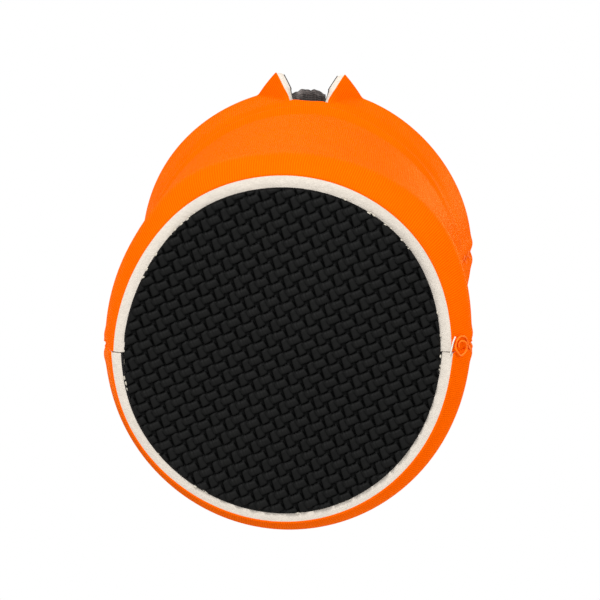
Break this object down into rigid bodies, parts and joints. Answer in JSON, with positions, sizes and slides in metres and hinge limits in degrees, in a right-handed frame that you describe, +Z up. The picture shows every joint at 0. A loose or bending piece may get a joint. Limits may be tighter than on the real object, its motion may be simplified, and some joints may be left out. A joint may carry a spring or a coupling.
{
  "type": "insulating drink sleeve",
  "caption": "Laminated neoprene sleeve that keeps a drink can cool: stitched side seams, inset non-slip base, notched mouth with a webbing pull tab.",
  "frame": {"origin": "centre of the tread's underside, on the ground", "axes": "+Z up the bore towards the mouth; -Y is the front, where the notch and pull tab are; the side seams lie on -X and +X"},
  "size_m": [0.0788, 0.0822, 0.105],
  "materials": {
    "knit": "orange jersey knit, fine vertical wales",
    "foam": "white closed-cell foam, cut edge",
    "lining": "black jersey knit",
    "tread": "matt rubber with a moulded basket-weave grip",
    "base_core": "black closed-cell foam",
    "cement": "dried contact cement",
    "needle_thread": "orange polyester thread",
    "bobbin_thread": "black polyester thread",
    "webbing": "charcoal woven tape"
  },
  "bodies": {
    "sleeve": {"front_panel_knit": "knit", "front_panel_foam": "foam", "front_panel_lining": "lining", "rear_panel_knit": "knit", "rear_panel_foam": "foam", "rear_panel_lining": "lining", "base_tread": "tread", "base_foam": "base_core", "base_lining": "lining", "base_cement": "cement", "left_seam_cement": "cement", "right_seam_cement": "cement", "left_seam_stitches": "needle_thread", "right_seam_stitches": "needle_thread", "left_seam_bobbin_thread": "bobbin_thread", "right_seam_bobbin_thread": "bobbin_thread", "thread_tail": "needle_thread", "pull_tab_foot": "webbing", "pull_tab_bartack": "bobbin_thread"},
    "pull_tab": {"pull_tab_loop": "webbing"}
  },
  "joints": [
    {"name": "pull_tab_fold", "type": "hinge", "parent": "sleeve", "child": "pull_tab", "pos_m": [0, -0.034, 0.0966], "axis": [1, 0, 0], "range_deg": [-60, 0]}
  ]
}
